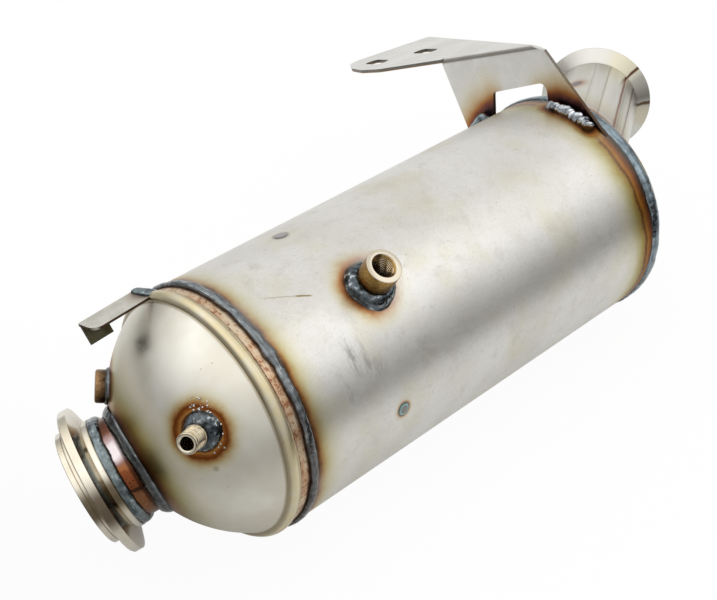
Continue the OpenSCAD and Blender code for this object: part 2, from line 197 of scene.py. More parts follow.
# One material. Distances and places are in millimetres in the can's frame.
class Finish:
    def __init__(self, name, colour, roughness=0.3, metallic=1.0):
        self.mat = bpy.data.materials.new(name)
        self.mat.use_nodes = True
        self.tree = self.mat.node_tree
        self.shader = self.tree.nodes["Principled BSDF"]
        self.shader.inputs["Roughness"].default_value = roughness
        self.shader.inputs["Metallic"].default_value = metallic
        self.shader.inputs["Base Color"].default_value = linear(colour)
        self.mat.diffuse_color = linear(colour)
        start = Wire(self.tree)
        at = start.make("ShaderNodeTexCoord", out="Object")
        self.can = at.vector("MULTIPLY_ADD", (1000.0,) * 3, tuple(-canPlace))
        self.x, self.y, self.z = self.can.parts()
        self.colour = start.make("ShaderNodeMix", {"data_type": "RGBA"},
                                 {0: 0.0, 6: linear(colour), 7: linear(colour)}, out=2)

    def join(self, a, b, c=0.0):
        return self.can.make("ShaderNodeCombineXYZ", None, {0: a, 1: b, 2: c})

    # length round the can's sheet, from its top
    def girth(self):
        return self.y.maths("ARCTAN2", self.z) * shellR

    def noise(self, *how):
        return self.can.noise(*how)

    # noise about zero, to make an edge ragged
    def sway(self, scale, detail=3):
        return self.noise(scale, detail) - 0.5

    def tone(self, low, high, factor):
        self.colour = factor.between(linear(low), linear(high))

    def paint(self, colour, factor):
        self.colour = self.colour.blend(linear(colour), factor)

    # heat colours by distance: stops are (mm, colour, strength)
    def tint(self, distance, stops, strength=1.0):
        last = stops[-1][0]
        ramp = distance.make("ShaderNodeValToRGB",
                             {"stops": [(mm / last, (*linear(c)[:3], a)) for mm, c, a in stops]},
                             {"Fac": distance.maths("MAXIMUM", 0.0) / last})
        self.colour = self.colour.blend(ramp, ramp.also(1) * strength)

    def along(self, place, axis):
        return self.can.vector("SUBTRACT", tuple(place)).vector("DOT_PRODUCT", tuple(axis), out=1)

    def fromPoint(self, place):
        return self.can.vector("DISTANCE", tuple(place), out=1)

    def fromAxis(self, place, axis):
        off = self.can.vector("SUBTRACT", tuple(place))
        h = off.vector("DOT_PRODUCT", tuple(axis), out=1)
        return (off.vector("DOT_PRODUCT", off, out=1) - h * h).root()

    def fromRing(self, place, axis, radius):
        h, r = self.along(place, axis), self.fromAxis(place, axis) - radius
        return h.hypot(r)

    # angle round an axis in radians, from the first of its two sides
    def round(self, place, axis):
        one, two = sides(axis)
        return self.along(place, two).maths("ARCTAN2", self.along(place, one))

    def facing(self, axis):
        return self.can.make("ShaderNodeNewGeometry", out="Normal").vector("DOT_PRODUCT", tuple(axis), out=1)

    def done(self, rough=None, bump=None, depth=0.0002, strength=1.0):
        link = self.tree.links.new
        link(self.colour.socket, self.shader.inputs["Base Color"])
        if rough is not None:
            link(rough.socket, self.shader.inputs["Roughness"])
        if bump is not None:
            node = bump.make("ShaderNodeBump", None, {"Strength": strength, "Distance": depth, "Height": bump})
            link(node.socket, self.shader.inputs["Normal"])
        return self.mat


# Heat colours, from the weld's edge outwards.
heat = {
    "seam": [(0, "#46301f", 1), (1.2, "#7a5230", 1), (2.6, "#9c7844", 0.95), (4.5, "#ab975c", 0.85),
             (8, "#bdb486", 0.6), (13, "#cdc8ac", 0.35), (20, "#d8d5c8", 0)],
    "outlet": [(0, "#33271f", 1), (1.6, "#55300f", 1), (3.6, "#7a4414", 1), (6, "#96641f", 1),
               (8.2, "#5a340c", 1), (10.5, "#8f7024", 0.95), (13.5, "#9a883a", 0.9), (18, "#aca266", 0.74),
               (24, "#c3bd98", 0.45), (36, "#d6d4c8", 0)],
    "neck": [(0, "#3c2112", 1), (2, "#6a3d1e", 1), (5, "#86592c", 1), (9, "#8a7440", 1),
             (14, "#958a58", 0.92), (20, "#aaa27a", 0.72), (28, "#c0b99c", 0.4), (40, "#cbc6b2", 0)],
    "port": [(0, "#5c3a20", 1), (1.2, "#a3733c", 1), (2.6, "#80491f", 1), (4.2, "#653414", 1),
             (5.6, "#94642c", 0.95), (7.4, "#ae9458", 0.8), (10.5, "#c4bb92", 0.4), (15, "#d4d0c2", 0)],
    "boss": [(0, "#4a3022", 1), (1.2, "#8a5a36", 1), (2.8, "#aa7a4c", 0.95), (4.6, "#b99c6c", 0.8),
             (7.5, "#c9be98", 0.5), (13, "#d8d4c8", 0)],
    "plug": [(0, "#6d6a66", 1), (1.1, "#8d8d8c", 1), (2.0, "#756c62", 1), (2.6, "#8aa2a6", 1),
             (3.5, "#93b0b2", 1), (4.1, "#5e4a38", 0.95), (4.9, "#b0885a", 0.75), (6, "#c9b896", 0.4),
             (8.5, "#d6d4cb", 0)],
    "palePlug": [(0, "#85858a", 1), (1.3, "#a6a6a8", 1), (2.3, "#8f8d8a", 1), (3.3, "#a5a8aa", 1),
                 (4.3, "#8c867c", 0.9), (5.6, "#c0bbac", 0.5), (8, "#d6d4cb", 0)],
    "leg": [(0, "#38262a", 1), (3, "#513434", 1), (6, "#764636", 1), (8.5, "#a06e42", 1),
            (12, "#b5935f", 0.8), (17, "#c0ac7e", 0.55), (23, "#cdc4a8", 0.25), (32, "#d2d0c9", 0)],
    "foot": [(0, "#543216", 1), (1.0, "#744620", 1), (2.4, "#92602a", 0.95), (3.6, "#86642e", 0.75),
             (5.5, "#a58b52", 0.4), (8.5, "#c0b486", 0)],
    "tack": [(0, "#4c4d50", 1), (2.0, "#7b7c7d", 1), (3.0, "#61443a", 0.95), (5.5, "#a57f66", 0.7),
             (9, "#b9a68c", 0.35), (14, "#bfbdb4", 0)],
    "clip": [(0, "#3f332b", 1), (6, "#6d5648", 0.8), (10, "#a08f80", 0.5), (17, "#c2beb4", 0)],
}


# Satin sheet of the can: rolled grain, rubbed streaks, a scratch, specks, and the heat of each weld.
def shellSteel():
    look = {"light": "#dddcd8", "dark": "#d2d0ca", "straw": "#cfcab0", "smear": "#86867d", "scratch": "#84703c",
            "inletEdge": 3.2, "outletEdge": 300.4,
            # streaks: place, clock, half width, half length, strength
            "rubs": [(43.0, -53.5, 4.6, 15.0, 0.65), (50.5, -56.0, 3.4, 16.0, 0.5), (57.0, -62.0, 7.0, 8.0, 0.35),
                     (33.0, -66.0, 2.0, 9.0, 0.4), (34.0, 6.0, 6.0, 7.0, 0.3)],
            # bracket feet: clock from, clock to, place, reach of the heat
            "feet": [(-17.0, 6.5, 291.5, 4.0), (53.0, 69.0, 293.0, 7.0)]}
    f = Finish("shellSteel", look["light"], 0.36)
    s = f.girth()
    sheet = f.join(f.x, s)
    broad, fine = f.noise(0.018, 3), sheet.noise(1.0, 4, 0.6, (0.16, 0.6, 1.0))
    cloud = f.noise(0.55, 4, 0.65)
    wob, ragged = f.sway(0.07), f.sway(0.35)
    f.tone(look["dark"], look["light"], (broad * 0.6 + fine * 0.2 + cloud * 0.2).step(0.38, 0.6))
    f.paint(look["straw"], f.noise(0.03, 2).step(0.48, 0.7) * 0.4)
    f.paint("#aeaba0", cloud.step(0.5, 0.72) * 0.3)
    f.paint("#a8a59a", f.noise(1.7, 3, 0.7).step(0.5, 0.7) * 0.3)
    f.paint("#b9b6ab", sheet.noise(0.07, 5, 0.72).step(0.5, 0.7) * 0.35)
    rubbed = sheet.noise(0.5, 4, 0.7, (1.0, 0.25, 1.0)).step(0.36, 0.62)
    for at, clock, wide, tall, much in look["rubs"]:
        across = (f.x + ragged * 3 - at).near(0.0, wide * 0.2, wide)
        down = (s + wob * 8).near(radians(clock) * shellR, tall * 0.2, tall)
        f.paint(look["smear"], across * down * rubbed * much)
    line = s + (f.x - 32.6) * 0.53 + 24.3 + ragged * 0.8
    deep = f.x.near(39.5, 2.5, 5.0) * 0.75 + f.x.near(30.0, 5.0, 16.0) * 0.35
    f.paint(look["scratch"], line.near(0.0, 0.2, 0.85) * deep)
    f.paint("#6b675c", sheet.specks(0.16, 0.03, 0.075) * f.noise(0.05, 1).step(0.5, 0.6) * 0.8)
    wander = f.sway(0.025, 2) * 10 + f.z.drop(0.0, 26.0) * 3.5
    f.tint(look["outletEdge"] - f.x + wander + wob * 4 + ragged * 2.4, heat["outlet"],
           1 - f.z.step(30.0, 78.0) * 0.15)
    for low, high, start, back in look["feet"]:
        mid, half = radians((low + high) / 2) * shellR, radians(high - low) / 2 * shellR
        side = ((s - mid).size() - half).maths("MAXIMUM", 0.0)
        f.tint((f.x - start).hypot(side) - back + wob * 4 + ragged, heat["foot"])
    # the boss is hottest towards the inlet
    warm = f.along(bossFoot, Vector((-0.8, -0.33, 0.5))).step(-14.0, 12.0) * 0.6 + 0.4
    f.tint(f.fromAxis(bossFoot, bossDir) - 12.4 - warm * 3.6 + wob * 7 + ragged * 1.5, heat["boss"], warm)
    for at, clock, stops in plugPlaces:
        f.tint((f.x - at).hypot(s - radians(clock) * shellR) + ragged * 0.5, heat[stops])
    low = f.z.step(60.0, 20.0)
    spread = (f.x - look["inletEdge"] + wob * 4 + ragged * 1.2) * (1.15 - low * 0.3)
    f.tint(spread, heat["seam"], f.noise(0.02, 2).step(0.25, 0.5) * 0.3 + 0.7)
    return f.done(fine * 0.1 + cloud * 0.16 + 0.28, fine * 0.4 + cloud * 0.6, 0.00008, 0.5)


# Pressed dome: pale straw, golden on the rolled bead, coppery and flecked on the land.
def domeSteel():
    look = {"light": "#dad8cf", "dark": "#ccc8bb", "gold": "#cfbd88", "copper": "#d2bfa4", "rust": "#8f5a38",
            "bead": (-17.0, -13.6), "land": (-9.9, -8.6), "seamToe": (-4.2, -2.4)}
    f = Finish("domeSteel", look["light"], 0.28)
    broad, cloud = f.noise(0.022, 3), f.noise(0.7, 3, 0.6)
    wob, ragged = f.sway(0.08), f.sway(0.4)
    skin = f.join(f.x, f.girth())
    lines, patch = skin.noise(1.0, 4, 0.65, (0.3, 1.1, 1.0)), skin.noise(0.09, 3, 0.6)
    f.tone(look["dark"], look["light"], broad.step(0.36, 0.62))
    f.paint("#615b4a", f.can.specks(0.2, 0.04, 0.1) * f.noise(0.06, 1).step(0.5, 0.62) * 0.8)
    # painted shade darkening the underside, and a small ring mark
    f.paint("#b5ad97", f.z.drop(-62.0, -6.0) * 0.55)
    f.paint("#77735f", f.fromPoint(Vector((-41, -46, 12))).near(2.1, 0.25, 0.9) * 0.6)
    joint = f.fromRing(neckJoint, (neckJoint - crownMid).normalized(), 31.3)
    f.tint(joint - 5.0 + wob * 5 + ragged * 0.4, heat["neck"])
    lean = f.round(nippleFoot, nippleDir).maths("COSINE") * 0.48
    f.tint(f.fromAxis(nippleFoot, nippleDir) - 10.6 + lean + wob * 4 + ragged * 1.2, heat["port"],
           f.along(crownMid, nippleDir).step(20.0, 40.0))
    f.tint(f.fromAxis(sideFoot, sideDir) - 11.2 + wob * 2, heat["port"],
           f.along(crownMid, sideDir).step(20.0, 40.0))
    # rolled bead, then the land up to the seam
    f.paint(look["gold"], (f.x + wob * 1.4).step(*look["bead"]) * (patch.step(0.3, 0.62) * 0.35 + 0.28))
    f.paint("#6a5527", (f.x + wob * 0.8).near(-15.6, 0.2, 1.5) * 0.55)
    f.paint("#7a6433", (f.x + ragged * 0.8).near(-10.2, 0.2, 1.0) * 0.45)
    land = (f.x + ragged * 1.8).step(*look["land"])
    flecks = skin.noise(1.0, 4, 0.7, (0.5, 0.28, 1.0))
    f.paint(look["copper"], land * 0.9)
    f.paint("#b98c68", land * patch.step(0.38, 0.6) * 0.6)
    f.paint(look["rust"], land * (flecks * 0.7 + patch * 0.3).step(0.5, 0.58) * 0.8)
    f.paint("#d9c9b4", land * lines.step(0.56, 0.68) * 0.6)
    f.paint("#4c2c1e", land * flecks.step(0.62, 0.72) * 0.7)
    f.paint("#54382a", (f.x + ragged * 1.6).step(*look["seamToe"]) * 0.8)
    return f.done(cloud * 0.12 + land * 0.12 + 0.27, cloud * 0.4 + land * lines * 0.8, 0.00005, 0.5)


# Short tube between two welds: rose at the top with a painted highlight, rust in the middle, bronze below.
def neckSteel():
    look = {"rose": "#a18b8c", "pale": "#ddd6d8", "rust": "#83492c", "bronze": "#7c5338", "burnt": "#2c1a14",
            "flangeToe": (-18.6, -17.2), "domeToe": (-24.2, -22.4)}
    f = Finish("neckSteel", look["bronze"], 0.26)
    fine, patch = f.noise(0.6, 4), f.noise(0.12, 3)
    turn = f.round(flangeFace, neckDir) * degrees(1) + (patch - 0.5) * 16
    h = f.along(flangeFace, neckDir)
    f.tone(look["bronze"], "#64402a", fine.step(0.4, 0.6))
    f.paint(look["rose"], turn.near(-24.0, 8.0, 28.0) * (fine.step(0.35, 0.6) * 0.3 + 0.65))
    # painted highlight: a pale patch near the top
    f.paint(look["pale"], turn.near(-28.0, 4.0, 15.0) * 0.75)
    f.paint(look["rust"], turn.near(-58.0, 8.0, 22.0) * 0.9)
    f.paint("#9a6640", turn.near(-47.0, 2.0, 5.0) * 0.7)
    f.paint(look["burnt"], f.can.specks(0.45, 0.16, 0.3) * turn.near(-62.0, 8.0, 15.0) * 0.9)
    f.paint(look["burnt"], turn.near(-76.0, 1.5, 4.0) * 0.8)
    f.paint("#5a3626", turn.near(10.0, 14.0, 22.0) * 0.85)
    f.paint("#a87c58", fine.step(0.5, 0.62) * turn.near(-98.0, 12.0, 22.0) * 0.5)
    f.paint(look["burnt"], h.step(*look["flangeToe"]) * 0.85)
    f.paint(look["burnt"], h.drop(*look["domeToe"]) * 0.8)
    return f.done(fine * 0.16 + 0.14, fine, 0.00005, 0.4)


# Turned flange: pale gold with a painted dark reflection band and a painted dark reflection along the rim, faint
# tool lines and a groove on the spigot.
def flangeSteel():
    look = {"pale": "#ddd8cb", "gold": "#cfc6b2", "deep": "#85714a", "reflectionBand": "#4c381a"}
    f = Finish("flangeSteel", look["gold"], 0.16)
    h, r = f.along(flangeFace, neckDir), f.fromAxis(flangeFace, neckDir)
    turned = f.join(h * 1.6, r * 1.6).noise(1.3, 3, 0.6)
    broad, fine = f.noise(0.03, 2), f.noise(0.7, 3)
    f.tone(look["gold"], look["pale"], (turned * 0.3 + broad * 0.7).step(0.36, 0.62))
    turn = f.round(flangeFace, neckDir) * degrees(1) + (broad - 0.5) * 10
    # painted reflection: a dark band on one side, where dark surroundings would show
    f.paint(look["reflectionBand"], turn.near(-67.0, 8.0, 25.0) * 0.85)
    # painted reflection: a dark bronze band along the rim
    f.paint(look["deep"], h.drop(-9.4, -5.2) * h.step(-9.6, -8.6) * 0.55)
    f.paint("#6a5430", h.drop(-12.4, -11.2) * 0.6)
    f.paint("#5d4a2c", h.near(3.4, 0.15, 0.5) * r.step(33.5, 34.2) * 0.7)
    f.paint("#4f3f27", h.near(0.0, 0.1, 0.6) * r.drop(35.0, 36.0) * 0.7)
    f.paint("#4d4029", f.can.specks(0.4, 0.07, 0.14) * f.noise(0.07, 1).step(0.42, 0.58) * 0.7)
    return f.done(turned * 0.06 + fine * 0.06 + 0.09, turned, 0.00001, 0.3)


# Drawn pipe with its long seam, the brown lines beside it, burns on the flare and a tack mark.
def pipeSteel():
    look = {"light": "#cecdc7", "dark": "#bebcb4", "burn": "#54301f",
            # lines along the pipe: clock, half width, colour, strength
            "lines": [(51.0, 9.0, "#a59f92", 0.6), (46.5, 1.4, "#8d867a", 0.5), (55.0, 1.2, "#cfc9bb", 0.5),
                      (41.9, 1.3, "#713e2c", 0.95), (61.0, 1.3, "#5f3c2c", 0.9), (66.0, 3.0, "#b0aa9a", 0.5),
                      (16.5, 0.9, "#8b877c", 0.6), (20.0, 2.0, "#d2d0c6", 0.5), (-3.0, 0.7, "#8f8b80", 0.4)],
            "burns": [(44.0, 0.045), (86.0, 0.05)], "tackAt": -46.6, "tackClock": -22.7}
    f = Finish("pipeSteel", look["light"], 0.3)
    h, phi = f.along(pipeLip, pipeDir), f.round(pipeLip, pipeDir)
    arc = phi * pipeR
    skin = f.join(h, arc)
    drawn, fine = skin.noise(1.0, 2, 0.5, (0.012, 0.2, 1.0)), f.noise(0.8, 3)
    wob = f.sway(0.09, 2)
    tube = h.drop(-8.0, -6.4)
    flare = 1 - tube
    grain = drawn * tube * 0.6 + fine * 0.1 + flare * 0.35 + 0.15
    f.tone(look["dark"], look["light"], grain.step(0.3, 0.7))
    for clock, wide, colour, much in look["lines"]:
        f.paint(colour, (arc + wob * 0.8).near(radians(clock) * pipeR, wide * 0.35, wide) * much * tube)
    f.paint("#77736a", h.near(-7.2, 0.3, 1.2) * 0.3)
    f.paint("#d2c8a6", flare * phi.near(0.55, 0.15, 0.5) * 0.55)
    f.paint("#9a958a", flare * phi.near(1.12, 0.16, 0.3) * 0.5)
    for clock, wide in look["burns"]:
        f.paint(look["burn"], (phi + wob * 0.08).near(radians(clock), wide * 0.3, wide) * flare * 0.95)
    f.paint("#b0a384", flare * phi.near(1.75, 0.1, 0.35) * 0.5)
    tack = (h - look["tackAt"]).hypot(arc - radians(look["tackClock"]) * pipeR)
    f.tint(tack + wob * 2, heat["tack"])
    f.tint(f.fromPoint(dishMid) - dishR - 2.6 + wob * 4, heat["outlet"], f.x.step(330.0, 326.0) * 0.6 + 0.3)
    return f.done(drawn * 0.08 + fine * 0.06 + 0.24, drawn, 0.00002, 0.3)


# Dished outlet end, heated at its rim and round the pipe.
def dishSteel():
    look = {"light": "#d4d2ca", "dark": "#bdb9ac", "rim": 309.5, "pipeWeld": 34.0}
    f = Finish("dishSteel", look["light"], 0.28)
    broad, fine = f.noise(0.025, 3), f.noise(0.7, 3, 0.6)
    wob = f.sway(0.08)
    f.tone(look["dark"], look["light"], (broad * 0.8 + fine * 0.2).step(0.35, 0.65))
    f.tint(f.x - look["rim"] + wob * 6 + (fine - 0.5) * 2, heat["outlet"])
    f.tint(f.fromAxis(pipeLip, pipeDir) - look["pipeWeld"] + wob * 4, heat["neck"])
    return f.done(fine * 0.14 + 0.2, broad, 0.00004, 0.3)


# Bracket plate: satin faces, brown sawn edges, painted shade along the bend, and heat climbing from the two welds.
def bracketSteel():
    # u runs along the arm and w up from the can, both square to X
    look = {"light": "#d8d7d3", "dark": "#cbcac4", "edge": "#4d3f30", "bend": "#564839",
            "legTop": (106.0, 109.0), "armFoot": (110.3, 110.6), "armEnd": (68.6, 69.0), "plateBack": (301.2, 301.6)}
    f = Finish("bracketSteel", look["light"], 0.36)
    u = f.y * cos(bracketTurn) - f.z * sin(bracketTurn)
    w = f.y * sin(bracketTurn) + f.z * cos(bracketTurn)
    r = f.y.hypot(f.z)
    plate = f.join(f.x, u, w)
    grain = plate.noise(1.0, 3, 0.6, (0.5, 0.12, 0.12))
    broad, fine = f.noise(0.03, 2), f.noise(0.9, 3)
    wob, ragged = f.sway(0.1, 2), f.sway(0.35)
    f.tone(look["dark"], look["light"], (broad * 0.6 + grain * 0.4).step(0.36, 0.62))
    f.paint("#85827a", plate.specks(0.13, 0.025, 0.06) * 0.6)
    pinch = (u - 33.0).hypot(w - 99.0)
    f.paint("#b7a683", pinch.drop(2.0, 9.0) * fine.step(0.48, 0.62) * 0.5)
    leg = w.drop(*look["legTop"])
    climb = r - shellR + wob * 4 + ragged
    f.tint(climb - 3.0 + (u + 30.0).maths("MAXIMUM", 0.0) * 0.35, heat["leg"], leg * u.drop(-14.0, 2.0))
    f.tint(climb - 5.5 + (u - 50.0).size() * 0.1, heat["leg"], leg * u.step(14.0, 30.0))
    up, front = f.facing(clocked(bracketClock)), f.facing(axisX).size()
    rim = (u.step(*look["armEnd"]) + f.x.step(*look["plateBack"])).maths("MINIMUM", 1.0)
    arm = w.step(*look["armFoot"]) * (1 - up.size().step(0.3, 0.5)) * rim
    cut = w.drop(108.9, 109.2) * front.drop(0.4, 0.6)
    inner = u.drop(68.5, 69.2) * f.x.drop(300.4, 301.0)
    # painted shade on the bend's curved surface, picked by its facing
    bend = up.near(0.55, 0.2, 0.42) * w.step(109.0, 109.6) * inner
    f.paint(look["edge"], (arm + cut).maths("MINIMUM", 1.0) * (fine * 0.3 + 0.68))
    f.paint("#6e6c66", arm * (w + wob).step(111.2, 112.0) * 0.75)
    f.paint("#a47c48", arm * (1 - (w + wob).step(110.6, 111.5)) * 0.8)
    f.paint(look["bend"], bend * 0.6)
    return f.done(fine * 0.14 + grain * 0.12 + arm * 0.1 + 0.22, grain * 0.5 + fine * 0.5, 0.00005, 0.4)


# Clip: grey strip, brown sheared edges with the rounded corner's edge left pale as a painted highlight, dark olive
# inside the folded tab.
def clipSteel():
    look = {"light": "#cbc9c1", "dark": "#bab7ac", "edge": "#46362a", "inside": "#474229", "strip": (-1.9, -1.6)}
    f = Finish("clipSteel", look["light"], 0.34)
    fine, broad = f.noise(0.9, 3), f.noise(0.08, 2)
    f.tone(look["dark"], look["light"], (broad * 0.7 + fine * 0.3).step(0.38, 0.6))
    f.tint(f.fromPoint(clipRoot), heat["clip"])
    below, wide, out = [f.along(clipRoot, way) for way in (clipUp, clipWide, clipAlong)]
    strip = below.step(*look["strip"])
    edge = (1 - f.facing(clipUp).size().step(0.3, 0.6)) * strip
    # the edge at the rounded corner is left pale: a painted highlight
    f.paint(look["edge"], edge * (1 - out.drop(-40.0, -37.0) * wide.drop(-6.0, -2.0) * 0.9))
    f.paint(look["inside"], (1 - strip) * (broad.step(0.35, 0.65) * 0.1 + 0.9))
    f.paint("#2f2a1c", below.drop(-12.0, -4.0) * 0.3)
    return f.done(fine * 0.16 + (1 - strip) * 0.25 + 0.24, fine, 0.00005, 0.4)


# Turned boss: its end face is pale, and its side darkens to burnt at the foot; painted shade lies in the thread's
# roots and a painted highlight on the bore wall.
def turnedSteel(name, look, foot, axis, top):
    f = Finish(name, look["face"], 0.24)
    h, r = f.along(foot, axis), f.fromAxis(foot, axis)
    turned, fine = f.join(h * 2.0, r * 2.0).noise(1.2, 3, 0.6), f.noise(0.7, 3)
    f.tone(look["dark"], look["side"], (turned * 0.5 + fine * 0.5).step(0.36, 0.62))
    f.paint(look["hot"], (1 - (h + (fine - 0.5) * 2).step(look["low"], look["high"])) * 0.9)
    f.paint(look["face"], h.step(top - 0.7, top - 0.2) * 0.9)
    # painted shade in the thread roots, then a painted highlight on the bore wall at the crests
    f.paint("#22180e", look["cut"](r, h) * 0.9)
    f.paint("#efe8d8", r.near(look["bore"], 0.02, 0.3) * h.drop(top - 1.6, top - 1.2) * 0.8)
    return f.done(turned * 0.1 + fine * 0.08 + look["rough"], turned * 0.6 + fine * 0.4, 0.00003, 0.4)


# Weld metal: smooth and glossy, patched with scale, brown at its toes, with light streaks that are partly painted
# highlight and painted shade towards the can's underside.
# UV runs along the bead in millimetres and round it in radians from its crest.
def weldMetal(name, look):
    f = Finish(name, look["mid"], 0.3)
    uv = f.can.make("ShaderNodeUVMap", {"uv_map": "bead"})
    run = uv.vector("MULTIPLY", (1.0, 3.0, 0.0))
    across = uv.parts()[1]
    flow, strand = run.noise(1.0, 3, 0.55, (0.045, 0.42, 1.0)), run.noise(1.7, 3, 0.6, (0.06, 0.6, 1.0))
    patch, fine, lumps = f.noise(0.09, 2, 0.5), f.noise(0.7, 4), f.noise(0.3, 2, 0.5)
    lumpy = lumps * (1 - look["streak"])
    mixed = flow * look["streak"] + lumpy
    f.tone(look["dark"], look["mid"], (mixed * 0.6 + patch * 0.4).step(0.34, 0.58))
    # light streaks, partly painted highlight
    f.paint(look["light"], (strand * look["streak"] + lumpy).step(0.54, 0.7) * look["shine"])
    f.paint("#33241b", (patch * 0.8 + fine * 0.2).step(0.55, 0.66) * look["scale"])
    # painted shade: the bead darkens towards the can's underside
    f.paint("#3a3027", f.z.drop(-20.0, 66.0) * look["low"])
    f.paint("#2b1d15", across.size().step(1.05, 1.5) * look["toe"])
    groove = across.near(look["groove"], 0.05, 0.4) * look["split"]
    f.paint(look["dark"], groove * 0.8)
    return f.done(fine * 0.12 + look["rough"], flow * 0.5 + lumps * 0.5 - groove, 0.0005, look["bump"])


def spatterSteel():
    look = {"light": "#dcdcd9", "dark": "#8f8c84"}
    f = Finish("spatterMetal", look["light"], 0.3)
    fine, broad = f.noise(1.1, 3), f.noise(0.2, 2)
    f.tone(look["dark"], look["light"], (fine * 0.5 + broad * 0.5).step(0.36, 0.62))
    return f.done(fine * 0.2 + 0.2, fine, 0.0001, 0.5)


def plugSteel():
    f = Finish("plugSteel", "#85858a", 0.32)
    s = f.girth()
    for at, clock, stops in plugPlaces:
        f.tint((f.x - at).hypot(s - radians(clock) * shellR), heat[stops])
    fine = f.noise(1.2, 3)
    return f.done(fine * 0.2 + 0.22, fine, 0.00006, 0.5)


def fibreMat():
    f = Finish("fibreMat", "#e2ded2", 0.95, 0.0)
    fine, strand = f.noise(1.5, 4), f.noise(1.0, 4, 0.7, (0.3, 1.2, 1.2))
    f.tone("#c9c3b2", "#ebe7dc", (fine * 0.4 + strand * 0.6).step(0.35, 0.65))
    return f.done(None, strand, 0.0004, 0.8)


# Square channels: every other one of the filter's is plugged at each face.
def honeycomb(name, wall, hole, plug, pitch):
    f = Finish(name, wall, 0.9, 0.0)
    cell = f.join(f.y / pitch + 100.0, f.z / pitch + 100.0)
    across, up, _ = cell.vector("FRACTION").vector("SUBTRACT", (0.5, 0.5, 0.0)).vector("ABSOLUTE").parts()
    inside = 1 - across.maths("MAXIMUM", up).step(0.34, 0.4)
    column, line, _ = cell.vector("FLOOR").parts()
    odd = (column + line).maths("MODULO", 2.0).step(0.4, 0.6)
    ends = f.facing(axisX).size().step(0.6, 0.9)
    other, much = (plug, 0.6) if plug != wall else (hole, 0.95)
    f.tone(wall, plug, f.noise(1.2, 3).step(0.3, 0.7) * 0.4)
    f.paint(hole, inside * odd * ends * 0.95)
    f.paint(other, inside * (1 - odd) * ends * much)
    return f.done(None, 1 - inside * ends, 0.0006, 0.8)


# streak, shine and scale are shares of the colour, shine being light streaks that are partly painted highlight; low
# is painted shade that darkens the bead towards the can's underside, split a groove along it
plainBead = {"low": 0.0, "toe": 0.0, "groove": 0.0, "split": 0.0}
weldLooks = {
    "seam": {"light": "#d6dce0", "mid": "#7c8184", "dark": "#404346", "streak": 0.75, "shine": 0.7, "scale": 0.5,
             "low": 0.6, "toe": 0.3, "rough": 0.14, "bump": 0.3},
    "outlet": {"light": "#bac7cf", "mid": "#84929a", "dark": "#3a4146", "streak": 0.8, "shine": 0.55, "scale": 0.5,
               "low": 0.1, "toe": 0.6, "rough": 0.14, "bump": 0.35},
    "neck": {"light": "#c6cacb", "mid": "#6a6e70", "dark": "#2c2b2c", "streak": 0.75, "shine": 0.6, "scale": 0.5,
             "toe": 0.6, "rough": 0.1, "bump": 0.4, "groove": -0.25, "split": 0.6},
    "flange": {"light": "#c4cdd0", "mid": "#7c878a", "dark": "#40474a", "streak": 0.6, "shine": 0.6, "scale": 0.4,
               "toe": 0.5, "rough": 0.12, "bump": 0.35},
    "port": {"light": "#d6dee4", "mid": "#5f676c", "dark": "#1e2022", "streak": 0.2, "shine": 0.7, "scale": 0.4,
             "rough": 0.06, "bump": 0.5},
    "bright": {"light": "#eceff3", "mid": "#bcc2c9", "dark": "#44474e", "streak": 0.2, "shine": 0.95, "scale": 0.2,
               "rough": 0.1, "bump": 0.5},
}
welds = {name: weldMetal(name + "Weld", {**plainBead, **look}) for name, look in weldLooks.items()}
spatterMetal = spatterSteel()
looks = {
    "shell": shellSteel(), "inlet_cone": domeSteel(), "inlet_neck": neckSteel(), "inlet_flange": flangeSteel(),
    "outlet_pipe": pipeSteel(), "outlet_cone": dishSteel(), "mounting_bracket": bracketSteel(),
    "cable_clip": clipSteel(), "plug_welds": plugSteel(), "catalyst_mat": fibreMat(),
    "catalyst_brick": honeycomb("catalystCells", "#a39078", "#2a241d", "#a39078", 1.27),
    "filter_brick": honeycomb("filterCells", "#5a5b5c", "#141414", "#77736c", 1.8),
}
looks["filter_mat"], looks["retaining_ring"] = looks["catalyst_mat"], looks["outlet_cone"]
for name, mat in looks.items():
    nodes[name].data.materials.clear()
    nodes[name].data.materials.append(mat)
print("finishes made:", len(bpy.data.materials))


def addObject(name, data):
    obj = bpy.data.objects.new(name, data)
    bpy.context.scene.collection.objects.link(obj)
    return obj


def faceOut(obj):
    bm = bmesh.new()
    bm.from_mesh(obj.data)
    bmesh.ops.recalc_face_normals(bm, faces=bm.faces)
    bm.to_mesh(obj.data)
    bm.free()
    return obj


def addMesh(name, verts, faces, mat, uvs=None):
    mesh = bpy.data.meshes.new(name)
    mesh.from_pydata([row(v) for v in verts], [], faces)
    if uvs:
        layer = mesh.uv_layers.new(name="bead")
        for poly in mesh.polygons:
            for k, loop in enumerate(poly.loop_indices):
                layer.data[loop].uv = uvs[poly.index][k]
    mesh.polygons.foreach_set("use_smooth", [True] * len(mesh.polygons))
    mesh.materials.append(mat)
    return faceOut(addObject(name, mesh))


def settle(obj, slotName, *replaced):
    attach(obj, "root")
    if replaced:
        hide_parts(*replaced)
    return obj


